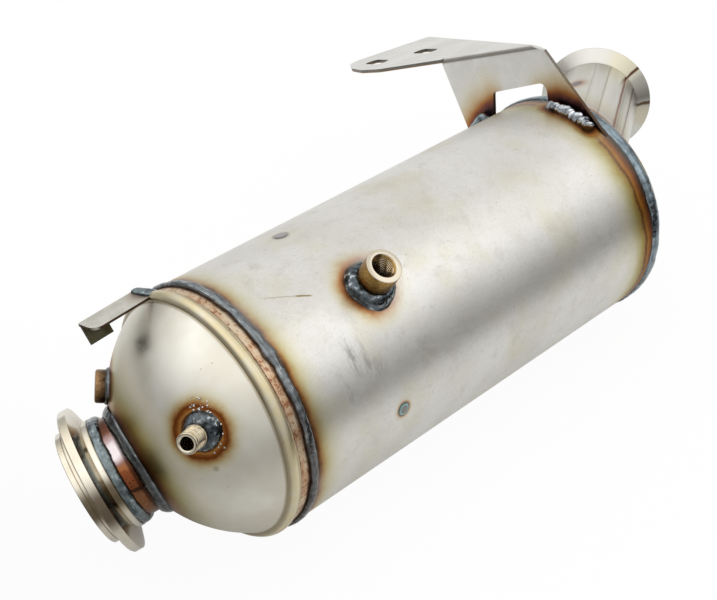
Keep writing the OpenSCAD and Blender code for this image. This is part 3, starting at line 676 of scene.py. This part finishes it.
# A bead of weld swept along a path. Each stop is (point, outward, sideways), and the section is a flat oval that
# swells and wanders. Knots are (place from 0 to 1, swelling, spread), where the weld was stopped and started.
def weldBead(name, stops, size, mat, closed=True, seed=0, ring=20):
    length = [0.0]
    for (a, *_), (b, *_) in zip(stops, stops[1:] + stops[:1]):
        length.append(length[-1] + (b - a).length)
    verts, count = [], len(stops)
    for i, (p, out, side) in enumerate(stops):
        turn = 2 * pi * i / count if closed else length[i] / 20
        here = Vector((cos(turn), sin(turn), seed * 3.7)) * (length[-1] / 60 if closed else 1.0)
        swell = 1 + size["lump"] * (noise.noise(here) + 0.5 * noise.noise(here * 3.1))
        for place, much, spread in size.get("knots", ()):
            swell += much * exp(-((i / count - place) / spread) ** 2)
        drift = 0.9 * size["wide"] * size["lump"] * noise.noise(here * 0.9 + Vector((9, 2, 5)))
        end = 1.0 if closed else sqrt(max(0.02, 1 - (2 * i / (count - 1) - 1) ** 6))
        for k in range(ring):
            a = 2 * pi * k / ring
            rough = 1 + 0.05 * noise.noise(here * 6 + Vector((cos(a), sin(a), 0)) * 1.6)
            swollen = swell * rough * end
            up = copysign(abs(cos(a)) ** 0.8, cos(a))
            verts.append(p + out * (size["high"] * swollen * up)
                         + side * (size["wide"] * swollen * sin(a) + drift))
    faces, uvs = [], []
    for i in range(count if closed else count - 1):
        j = (i + 1) % count
        for k in range(ring):
            m = (k + 1) % ring
            faces.append((i * ring + k, i * ring + m, j * ring + m, j * ring + k))
            low, high = [2 * pi * (q / ring - (1 if k >= ring / 2 else 0)) for q in (k, k + 1)]
            here, ahead = length[i], length[i + 1]
            uvs.append([(here, low), (here, high), (ahead, high), (ahead, low)])
    if not closed:
        faces += [tuple(reversed(range(ring))), tuple(range((count - 1) * ring, count * ring))]
        uvs += [[(0, 0)] * ring] * 2
    return addMesh(name, verts, faces, mat, uvs)


# Directions round an axis in equal steps.
def spokes(axis, count):
    one, two = sides(axis)
    angles = [2 * pi * i / count for i in range(count)]
    return [one * cos(a) + two * sin(a) for a in angles]


def roundPath(mid, axis, radius, count):
    return [(mid + out * radius, out, axis) for out in spokes(axis, count)]


# Where a tube along m through e meets a ball.
def ballPath(mid, ball, e, m, tube, count, lift):
    stops = []
    for out in spokes(m, count):
        p = e + out * tube - mid
        t = -p.dot(m) + sqrt(p.dot(m) ** 2 - p.dot(p) + ball * ball)
        hit = mid + p + m * t
        up = (hit - mid).normalized()
        face = (out + up).normalized()
        stops.append((hit + face * lift, face, (up - out).normalized()))
    return stops


def arcPath(x, radius, low, high, count):
    return [(x * axisX + radius * clocked(a), clocked(a), axisX) for a in spaced(low, high, count)]


# each weld: path, look, the node it stands for, section
ringWelds = {
    "inletSeamBead": (roundPath(inletSeam * axisX, axisX, 75.3, 720), "seam", "inlet_seam_weld",
                      {"high": 1.8, "wide": 2.6, "lump": 0.22,
                       "knots": [(0.096, 0.5, 0.007), (0.113, -0.25, 0.006)]}),
    "outletSeamBead": (roundPath(outletSeam * axisX, axisX, 74.9, 720), "outlet", "outlet_seam_weld",
                       {"high": 2.3, "wide": 4.2, "lump": 0.16}),
    "flangeBead": (roundPath(flangeFace - 14.3 * neckDir, neckDir, 30.9, 360), "flange", "flange_weld",
                   {"high": 2.3, "wide": 3.9, "lump": 0.16}),
    "neckBead": (ballPath(crownMid, crownR, neckJoint, neckDir, 31.2, 400, 0.0), "neck", "neck_weld",
                 {"high": 2.9, "wide": 4.6, "lump": 0.14}),
    "outletPipeBead": (ballPath(dishMid, dishR, pipeLip, pipeDir, 31.0, 320, 0.2), "seam", "outlet_pipe_weld",
                       {"high": 2.4, "wide": 3.2, "lump": 0.14}),
}
for seed, (name, (path, look, node, size)) in enumerate(ringWelds.items()):
    settle(weldBead(name, path, size, welds[look], True, seed + 1), "weld_dark", node)
farWeld = {"high": 7.0, "wide": 5.6, "lump": 0.3}
farPath = arcPath(293.4, 77.4, 52.5, 69.5, 60)
settle(weldBead("bracketBeadFar", farPath, farWeld, welds["outlet"], False, 9), "weld_dark", "bracket_weld_far")
# the clip's weld runs aslant over the strip's root
clipWeld, clipPath = {"high": 1.7, "wide": 3.2, "lump": 0.35}, []
for t in spaced(-7.4, 9.2, 40):
    spot = clipRoot + clipAlong * (0.3 + 0.28 * t) - clipWide * t + clipUp * (0.1 - 0.03 * max(0.0, t))
    clipPath.append((spot, clipUp, clipAlong))
settle(weldBead("clipBead", clipPath, clipWeld, welds["flange"], False, 12), "weld_bright", "clip_weld")
print("seam beads laid")


# Quads that close a grid both ways.
def wrapFaces(count, n):
    faces = []
    for i in range(count):
        j = (i + 1) % count
        for k in range(n):
            m = (k + 1) % n
            faces.append((i * n + k, j * n + k, j * n + m, i * n + m))
    return faces


# A puddled collar of weld round a port. ground() gives how far the sheet falls away at (x, y) from the port's axis,
# and lean is the way in which the puddle spread and climbed.
def weldCollar(name, foot, axis, one, ground, size, mat, seed):
    two, lean = axis.cross(one), radians(size["lean"])
    count, rows = 144, 16
    verts, uvs = [], []
    for i in range(count):
        a = 2 * pi * i / count
        way = Vector((cos(a), sin(a), seed * 2.3))
        pull = cos(a - lean)
        reach = size["outer"] * (1 + size["rough"] * noise.noise(way * 1.4) + size["spread"] * pull)
        uneven = 1.4 * size["rough"] * noise.noise(way * 1.7 + Vector((3, 1, 4)))
        climb = size["tall"] * (1 + uneven + 2.5 * size["spread"] * pull)
        for k in range(rows):
            t = k / (rows - 1)
            r = reach + (size["inner"] - reach) * t
            bulge = sin(min(1.0, t * 1.15) * pi / 2) ** 0.8
            x, y = r * cos(a), r * sin(a)
            bump = 0.9 * noise.noise(Vector((x, y, seed)) * 0.27)
            bump += 0.3 * noise.noise(Vector((x, y, seed + 5)) * 0.7)
            edge = min(1.0, 4 * t)
            z = ground(x, y) - 0.5 * (1 - edge) + climb * bulge * edge + bump * edge * (1 - t * 0.5)
            verts.append(foot + one * x + two * y + axis * z)
        x, y = size["inner"] * cos(a), size["inner"] * sin(a)
        verts.append(foot + one * x + two * y + axis * (ground(x, y) - 1.2))
    for i in range(count):
        here, ahead = [size["inner"] * 2 * pi * q / count for q in (i, i + 1)]
        for k in range(rows + 1):
            low, high = [(q - rows / 2) * 0.15 for q in (k, k + 1)]
            uvs.append([(here, low), (ahead, low), (ahead, high), (here, high)])
    return addMesh(name, verts, wrapFaces(count, rows + 1), mat, uvs)


def onShell(x, y):
    return sqrt(max(0.0, shellR ** 2 - y * y)) - shellR


def onCrown(x, y):
    return sqrt(crownR ** 2 - x * x - y * y) - crownR


# each collar: foot, axis, first side, ground, look, the node it stands for, seed, shape
collars = {
    "bossCollar": (bossFoot, bossDir, axisX, onShell, "port", "temperature_boss_weld", 3,
                   {"inner": 10.4, "outer": 15.5, "tall": 4.6, "rough": 0.13, "lean": 200, "spread": 0.09}),
    "nippleCollar": (nippleFoot, nippleDir, sides(nippleDir)[0], onCrown, "port", "nipple_weld", 5,
                     {"inner": 6.3, "outer": 11.6, "tall": 4.2, "rough": 0.12, "lean": -50, "spread": 0.1}),
    "sideCollar": (sideFoot, sideDir, sides(sideDir)[0], onCrown, "neck", "inlet_boss_weld", 7,
                   {"inner": 9.3, "outer": 11.0, "tall": 1.8, "rough": 0.06, "lean": 0, "spread": 0.0}),
}
for name, (foot, axis, one, ground, look, node, seed, size) in collars.items():
    settle(weldCollar(name, foot, axis, one, ground, size, welds[look], seed), "weld_dark", node)
print("port collars laid")


# A lathe turned about an axis. profile gives (radius, height) pairs; a thread wraps where thread() says so.
def lathe(name, foot, axis, profile, mat, thread, count=96):
    verts = []
    for i, out in enumerate(spokes(axis, count)):
        for r, h in profile:
            verts.append(foot + out * (r + thread(r, h, i / count)) + axis * h)
    obj = addMesh(name, verts, wrapFaces(count, len(profile)), mat)
    obj.data.set_sharp_from_angle(angle=radians(35))
    return obj


# one turn of a thread, 0 to 1 and back
def saw(t):
    return 1 - abs(2 * (t % 1.0) - 1)


# heights a step apart
def rise(low, high, step):
    return spaced(low, high, max(1, round((high - low) / step)) + 1)


# "cut" marks the painted shade in the thread's roots, by radius and height
nipple = {"radius": 6.0, "bore": 3.7, "foot": 6.5, "tall": 18.9,
          "threadFrom": 7.6, "threadTo": 17.2, "pitch": 1.75, "depth": 0.78,
          "face": "#dfd6c2", "side": "#d6ccb6", "dark": "#b6a684", "hot": "#5c4a34",
          "low": 4.0, "high": 9.0, "rough": 0.1,
          "cut": lambda r, h: r.near(5.25, 0.05, 0.4) * h.step(7.4, 8.0)}
bossPort = {"radius": 10.5, "bore": 6.2, "tall": 19.0, "chamfer": 0.5, "pitch": 1.5, "depth": 0.78,
            "face": "#cfc7b6", "side": "#a88954", "dark": "#805f30", "hot": "#26160a",
            "low": 3.0, "high": 18.0, "rough": 0.12,
            "cut": lambda r, h: r.near(6.95, 0.1, 0.5) * h.drop(17.2, 17.6)}
sidePort = {"radius": 9.5, "bore": 6.2, "tall": 7.0, "chamfer": 1.4, "pitch": 1.5, "depth": 0.78,
            "face": "#a58a66", "side": "#9c7c58", "dark": "#6f553c", "hot": "#3a2a1c",
            "low": 1.0, "high": 7.0, "rough": 0.2,
            "cut": lambda r, h: r.near(6.95, 0.1, 0.5) * h.drop(5.2, 5.6)}


def makeNipple():
    r, b, top = nipple["radius"], nipple["bore"], nipple["tall"]

    def thread(q, h, turn):
        if q < r - 0.01 or not nipple["threadFrom"] < h < nipple["threadTo"]:
            return 0.0
        fade = min(1.0, (h - nipple["threadFrom"]) / 0.9, (nipple["threadTo"] - h) / 0.5)
        return -nipple["depth"] * fade * saw(h / nipple["pitch"] - turn)
    profile = [(b, -2.0), (nipple["foot"], -2.0), (nipple["foot"], 7.0), (r, 7.2)]
    profile += [(r, h) for h in rise(7.4, 17.4, 0.16)]
    profile += [(r - 0.1, 17.6), (r - 0.15, top - 0.7), (r - 0.9, top), (b + 0.5, top), (b, top - 0.5)]
    mat = turnedSteel("nippleSteel", nipple, nippleFoot, nippleDir, top)
    return lathe("nippleStub", nippleFoot, nippleDir, profile, mat, thread)


def makePort(name, size, foot, axis):
    r, b, top = size["radius"], size["bore"], size["tall"]

    def thread(q, h, turn):
        if abs(q - b) > 0.01 or h > top - 1.6:
            return 0.0
        return size["depth"] * saw(h / size["pitch"] - turn)
    edge, mat = size["chamfer"], turnedSteel(name + "Steel", size, foot, axis, top)
    profile = [(b, h) for h in rise(-3.0, top - 1.3, 0.19)]
    profile += [(b + 1.3, top), (r - edge, top), (r - edge * 0.3, top - edge * 0.3), (r, top - edge), (r, -3.0)]
    return lathe(name, foot, axis, profile, mat, thread)


settle(makeNipple(), "nipple_steel", "pressure_nipple")
settle(makePort("bossPort", bossPort, bossFoot, bossDir), "boss_steel", "temperature_boss")
settle(makePort("sidePort", sidePort, sideFoot, sideDir), "inlet_boss_steel", "inlet_boss")
print("ports threaded")


# Geometry Nodes: a tree with named inputs, run on a mesh and baked.
def nodeTree(name, sockets):
    tree = bpy.data.node_groups.new(name, "GeometryNodeTree")
    tree.interface.new_socket("Geometry", in_out="INPUT", socket_type="NodeSocketGeometry")
    for label, kind in sockets.items():
        tree.interface.new_socket(label, in_out="INPUT", socket_type="NodeSocket" + kind)
    tree.interface.new_socket("Geometry", in_out="OUTPUT", socket_type="NodeSocketGeometry")
    start = Wire(tree)
    entry = start.make("NodeGroupInput")
    return tree, start, {s.name: Wire(tree, s) for s in entry.socket.node.outputs if s.name}


def runTree(obj, tree, values, name):
    mod = obj.modifiers.new("build", "NODES")
    mod.node_group = tree
    for item in tree.interface.items_tree:
        if item.in_out == "INPUT" and item.name in values:
            mod[item.identifier] = values[item.name]
    bpy.context.view_layer.update()
    baked = bpy.data.meshes.new_from_object(obj.evaluated_get(bpy.context.evaluated_depsgraph_get()))
    bpy.data.objects.remove(obj)
    baked.name = name
    return addObject(name, baked)


def pathObject(name, points, joined):
    mesh = bpy.data.meshes.new(name)
    edges = [(i, i + 1) for i in range(len(points) - 1)] if joined else []
    mesh.from_pydata([row(p) for p in points], edges, [])
    return addObject(name, mesh)


def closeTree(start, placed, metal):
    solid = start.make("GeometryNodeRealizeInstances", None, {0: placed})
    smooth = start.make("GeometryNodeSetShadeSmooth", None, {0: solid})
    shaded = start.make("GeometryNodeSetMaterial", None, {"Geometry": smooth, "Material": metal})
    start.make("NodeGroupOutput", None, {0: shaded})


# Overlapping scales along a path, as a hand weld leaves them.
def scaleTree():
    tree, start, given = nodeTree("weldScales", {"Pitch": "Float", "Width": "Float", "Height": "Float",
                                                 "Thick": "Float", "Seed": "Int", "Metal": "Material"})
    curve = start.make("GeometryNodeMeshToCurve", None, {0: given["Geometry"]})
    points = curve.make("GeometryNodeCurveToPoints", {"mode": "LENGTH"}, {"Curve": curve, "Length": given["Pitch"]})
    ball = start.make("GeometryNodeMeshUVSphere", None, {"Segments": 20, "Rings": 12, "Radius": 1.0})
    shape = start.make("ShaderNodeCombineXYZ", None, {0: given["Height"], 1: given["Width"], 2: given["Thick"]})
    spread = start.make("FunctionNodeRandomValue", {"data_type": "FLOAT"},
                        {2: 0.78, 3: 1.15, "Seed": given["Seed"]}, out=1)
    sway = start.make("FunctionNodeRandomValue", {"data_type": "FLOAT_VECTOR"},
                      {0: (-0.25, 0.3, -0.35), 1: (0.25, 0.8, 0.35), "Seed": given["Seed"]})
    turned = start.make("FunctionNodeRotateRotation", {"rotation_space": "LOCAL"},
                        {0: points.also("Rotation"), 1: sway})
    sized = shape.make("ShaderNodeVectorMath", {"operation": "SCALE"}, {0: shape, "Scale": spread})
    placed = start.make("GeometryNodeInstanceOnPoints", None,
                        {"Points": points, "Instance": ball, "Rotation": turned, "Scale": sized})
    closeTree(start, placed, given["Metal"])
    return tree


# Small beads of metal on given points.
def scatterTree():
    tree, start, given = nodeTree("spatter", {"Small": "Float", "Large": "Float",
                                              "Seed": "Int", "Metal": "Material"})
    ball = start.make("GeometryNodeMeshIcoSphere", None, {"Radius": 1.0, "Subdivisions": 2})
    size = start.make("FunctionNodeRandomValue", {"data_type": "FLOAT"},
                      {2: given["Small"], 3: given["Large"], "Seed": given["Seed"]}, out=1)
    placed = start.make("GeometryNodeInstanceOnPoints", None,
                        {"Points": given["Geometry"], "Instance": ball, "Scale": size})
    closeTree(start, placed, given["Metal"])
    return tree


scales, scatter = scaleTree(), scatterTree()
nearWeld = {"Pitch": 0.0021, "Width": 0.0050, "Height": 0.0040, "Thick": 0.0020,
            "Seed": 4, "Metal": welds["bright"]}
nearPath = pathObject("nearPath", [p for p, *_ in arcPath(291.8, 76.8, -16.6, 6.6, 40)], True)
settle(runTree(nearPath, scales, nearWeld, "bracketBeadNear"), "weld_bright", "bracket_weld_near")


# Points strewn on the ground round a port, between two radii and two angles.
def strewn(seed, count, foot, axis, ground, near, far, low, high):
    rng, one = random.Random(seed), sides(axis)[0]
    two, out = axis.cross(one), []
    for _ in range(count):
        a, r = radians(rng.uniform(low, high)), near + (far - near) * rng.random() ** 1.6
        x, y = r * cos(a), r * sin(a)
        out.append(foot + one * x + two * y + axis * ground(x, y))
    return out


spatter = {"Small": 0.0002, "Large": 0.00075, "Seed": 2, "Metal": spatterMetal}
specks = strewn(3, 34, nippleFoot, nippleDir, onCrown, 12, 19, -30, 30)
specks += strewn(4, 9, nippleFoot, nippleDir, onCrown, 12, 15, -150, 20)
settle(runTree(pathObject("nippleSpecks", specks, False), scatter, spatter, "nippleSpatter"), "weld_bright")
print("scales and spatter placed")

# Studio: a white sheet that ends in front of the object, a white backdrop behind it, and light from above.
# Each list gives the light by height, 0 at the horizon and 1 overhead.
studio = {
    "floorZ": -0.0446, "floorHalf": 6, "floorSeen": 0.95, "floorShine": 0.25,
    "sheetEnd": (-0.5, -0.27), "sheetLeft": 0.45, "sheetTurn": (-0.12, 0.12),
    "sheetDark": (0.06, 0.05, 0.04, 1), "sheetWhite": (0.8, 0.8, 0.79, 1),
    "sweep": (0.3, 0.9), "sweepShine": 0.7, "tentShine": 0.06, "warmth": (1.0, 0.995, 0.985),
    "front": [(0.0, 0.26), (0.1, 0.4), (0.2, 0.56), (0.32, 0.76), (0.48, 0.96), (0.66, 1.03),
              (0.8, 1.08), (1.0, 1.0)],
    "near": [(0.0, 0.6), (0.2, 0.72), (0.4, 0.88), (0.6, 1.2), (0.8, 1.6), (1.0, 1.2)],
    "left": [(0.0, 0.26), (0.12, 0.36), (0.3, 0.66), (0.5, 1.1), (0.74, 1.58), (1.0, 1.2)],
    "back": [(0.0, 0.95), (0.3, 0.98), (0.6, 1.0), (1.0, 1.0)],
    "aim": (0.2, 0, 0.03),
    # each lamp: place, size, power
    "lamps": {"nearLamp": ((0.95, -0.75, 1.05), 1.0, 1.7), "topLamp": ((-0.1, 0.1, 1.4), 1.4, 1.0)},
}
camera = {"lens": 69.0, "sensor": 36.0, "place": (-0.28922, -0.50375, 0.53648),
          "right": (0.7134, -0.7007, 0), "up": (0.41295, 0.42043, 0.80790)}


# Rays that see the white background: the camera's, and the metal's in part.
def rays(start):
    seen = start.make("ShaderNodeLightPath", out="Is Camera Ray")
    return seen, seen.also("Is Glossy Ray") + seen.also("Is Transmission Ray")


def makeFloor():
    mesh, z, half = bpy.data.meshes.new("studioFloor"), studio["floorZ"], studio["floorHalf"]
    mesh.from_pydata([(-half, -half, z), (half, -half, z), (half, half, z), (-half, half, z)], [], [(0, 1, 2, 3)])
    floor = addObject("studioFloor", mesh)
    mat = bpy.data.materials.new("paperFloor")
    mat.use_nodes = True
    mat.node_tree.nodes.clear()
    start = Wire(mat.node_tree)
    wide, depth, _ = start.make("ShaderNodeTexCoord", out="Object").parts()
    right = wide.step(*studio["sheetTurn"])
    sheet = depth.step(*studio["sheetEnd"]) * right + (1 - right) * studio["sheetLeft"]
    sweep = depth.step(*studio["sweep"])
    seen, glossy = rays(start)
    shine = glossy * (sheet * studio["floorShine"] + sweep * studio["sweepShine"])
    tone = sheet.between(studio["sheetDark"], studio["sheetWhite"])
    paper = start.make("ShaderNodeBsdfDiffuse", None, {"Color": tone})
    glow = start.make("ShaderNodeEmission", None, {"Color": (1, 1, 1, 1), "Strength": 1.0})
    mixed = start.make("ShaderNodeMixShader", None, {0: seen * studio["floorSeen"] + shine, 1: paper, 2: glow})
    start.make("ShaderNodeOutputMaterial", None, {"Surface": mixed})
    mesh.materials.append(mat)


def makeTent():
    world = bpy.data.worlds.new("tent")
    bpy.context.scene.world = world
    world.use_nodes = True
    world.node_tree.nodes.clear()
    start = Wire(world.node_tree)
    ahead, side, up = start.make("ShaderNodeTexCoord", out="Generated").parts()
    part = {}
    for name in ("front", "near", "left", "back"):
        stops = [(at, (*(level * c for c in studio["warmth"]), 1)) for at, level in studio[name]]
        part[name] = up.make("ShaderNodeValToRGB", {"stops": stops}, {"Fac": up})
    tent = part["near"].blend(part["front"], ahead.step(-0.2, 0.3))
    tent = tent.blend(part["left"], side.step(-0.3, 0.3))
    tent = tent.blend(part["back"], ahead.step(0.0, 0.5) * side.step(-0.3, 0.2))
    seen, glossy = rays(start)
    white = tent.blend((1, 1, 1, 1), seen + glossy * studio["tentShine"])
    light = start.make("ShaderNodeBackground", None, {"Color": white, "Strength": 1.0})
    start.make("ShaderNodeOutputWorld", None, {"Surface": light})


def makeLamp(name, spot, size, power):
    light = bpy.data.lights.new(name, "AREA")
    light.shape, light.size, light.energy = "SQUARE", size, power
    lamp = addObject(name, light)
    lamp.location = spot
    lamp.rotation_euler = (Vector(studio["aim"]) - Vector(spot)).to_track_quat("-Z", "Y").to_euler()


def makeCamera():
    view = bpy.data.cameras.new("photoView")
    view.lens, view.sensor_width, view.sensor_fit = camera["lens"], camera["sensor"], "HORIZONTAL"
    view.clip_start, view.clip_end = 0.01, 50
    cam = addObject("photoView", view)
    right, up = Vector(camera["right"]), Vector(camera["up"])
    spin = Matrix((right, up, right.cross(up))).transposed().to_4x4()
    cam.matrix_world = Matrix.Translation(Vector(camera["place"])) @ spin
    bpy.context.scene.camera = cam


makeFloor()
makeTent()
for name, lamp in studio["lamps"].items():
    makeLamp(name, *lamp)
makeCamera()
bpy.context.scene.view_settings.view_transform = "Standard"
print("studio set")
